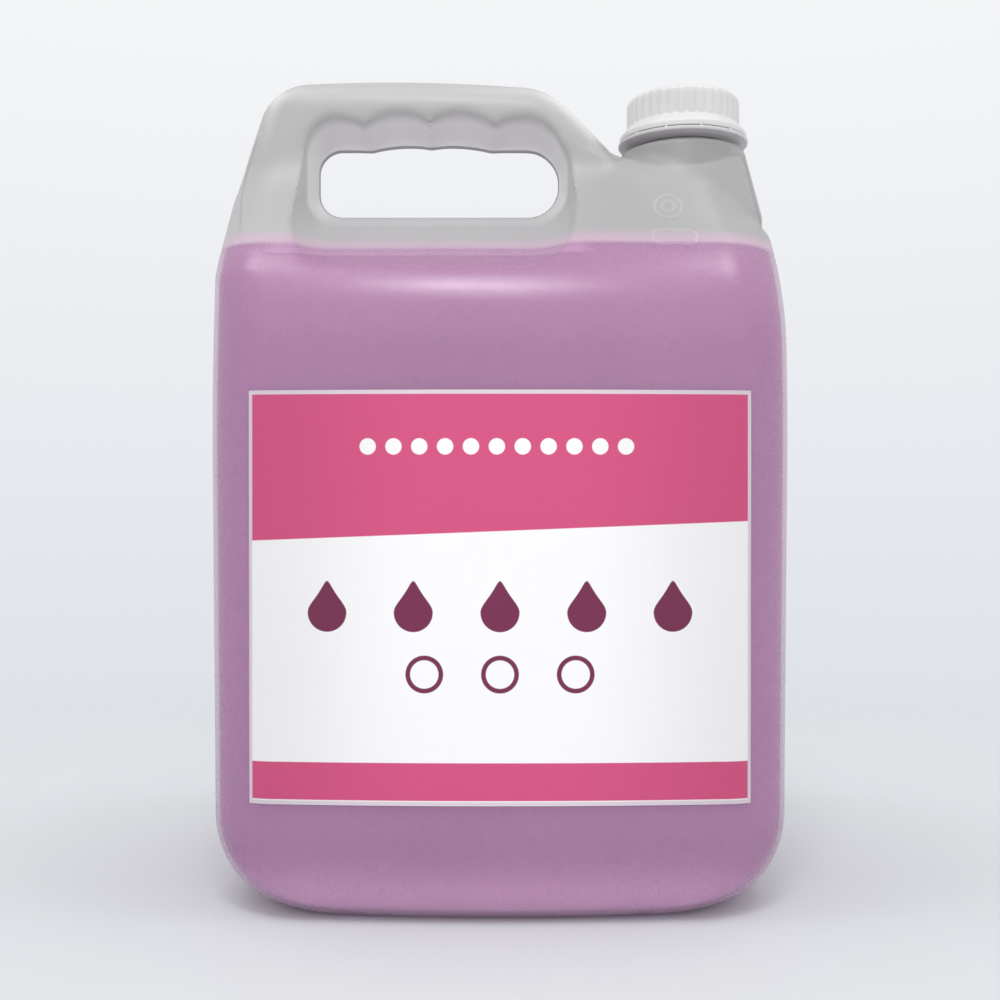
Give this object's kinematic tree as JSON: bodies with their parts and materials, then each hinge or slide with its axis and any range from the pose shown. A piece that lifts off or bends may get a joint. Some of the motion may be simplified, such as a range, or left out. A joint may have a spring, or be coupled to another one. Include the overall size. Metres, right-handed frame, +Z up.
{
  "type": "hand soap refill pack",
  "caption": "Translucent plastic can of liquid hand soap with a moulded-through handle, ribbed screw cap with tamper ring, and a front label.",
  "frame": {"origin": "middle of the base, on the surface that the pack stands on", "axes": "+Z up, -Y out of the labelled front face, +X towards the neck and cap"},
  "size_m": [0.1944, 0.1326, 0.289],
  "materials": {
    "bottle_plastic": "natural blow-moulded polyethylene, milky and half clear, satin",
    "soap": "pink-purple pearly liquid soap",
    "cap_plastic": "white injection-moulded plastic, semi-gloss",
    "liner_foam": "pressed foam sheet",
    "label_film": "smooth printed label with pink fields, satin"
  },
  "bodies": {
    "can": {"bottle": "bottle_plastic", "liquid_soap": "soap", "front_label": "label_film", "tamper_ring": "cap_plastic"},
    "liner": {"cap_liner": "liner_foam"},
    "screw_cap": {"cap": "cap_plastic"}
  },
  "joints": [
    {"name": "cap_lift", "type": "slide", "parent": "can", "child": "liner", "axis": [0, 0, 1], "range_m": [0, 0.007]},
    {"name": "cap_turn", "type": "hinge", "parent": "liner", "child": "screw_cap", "pos_m": [0.0679, 0, 0.276], "axis": [0, 0, 1], "range_deg": [0, 630]}
  ],
  "couplings": [
    {"joint": "cap_lift", "follows": "cap_turn", "m_per_rad": 0.0006366}
  ]
}
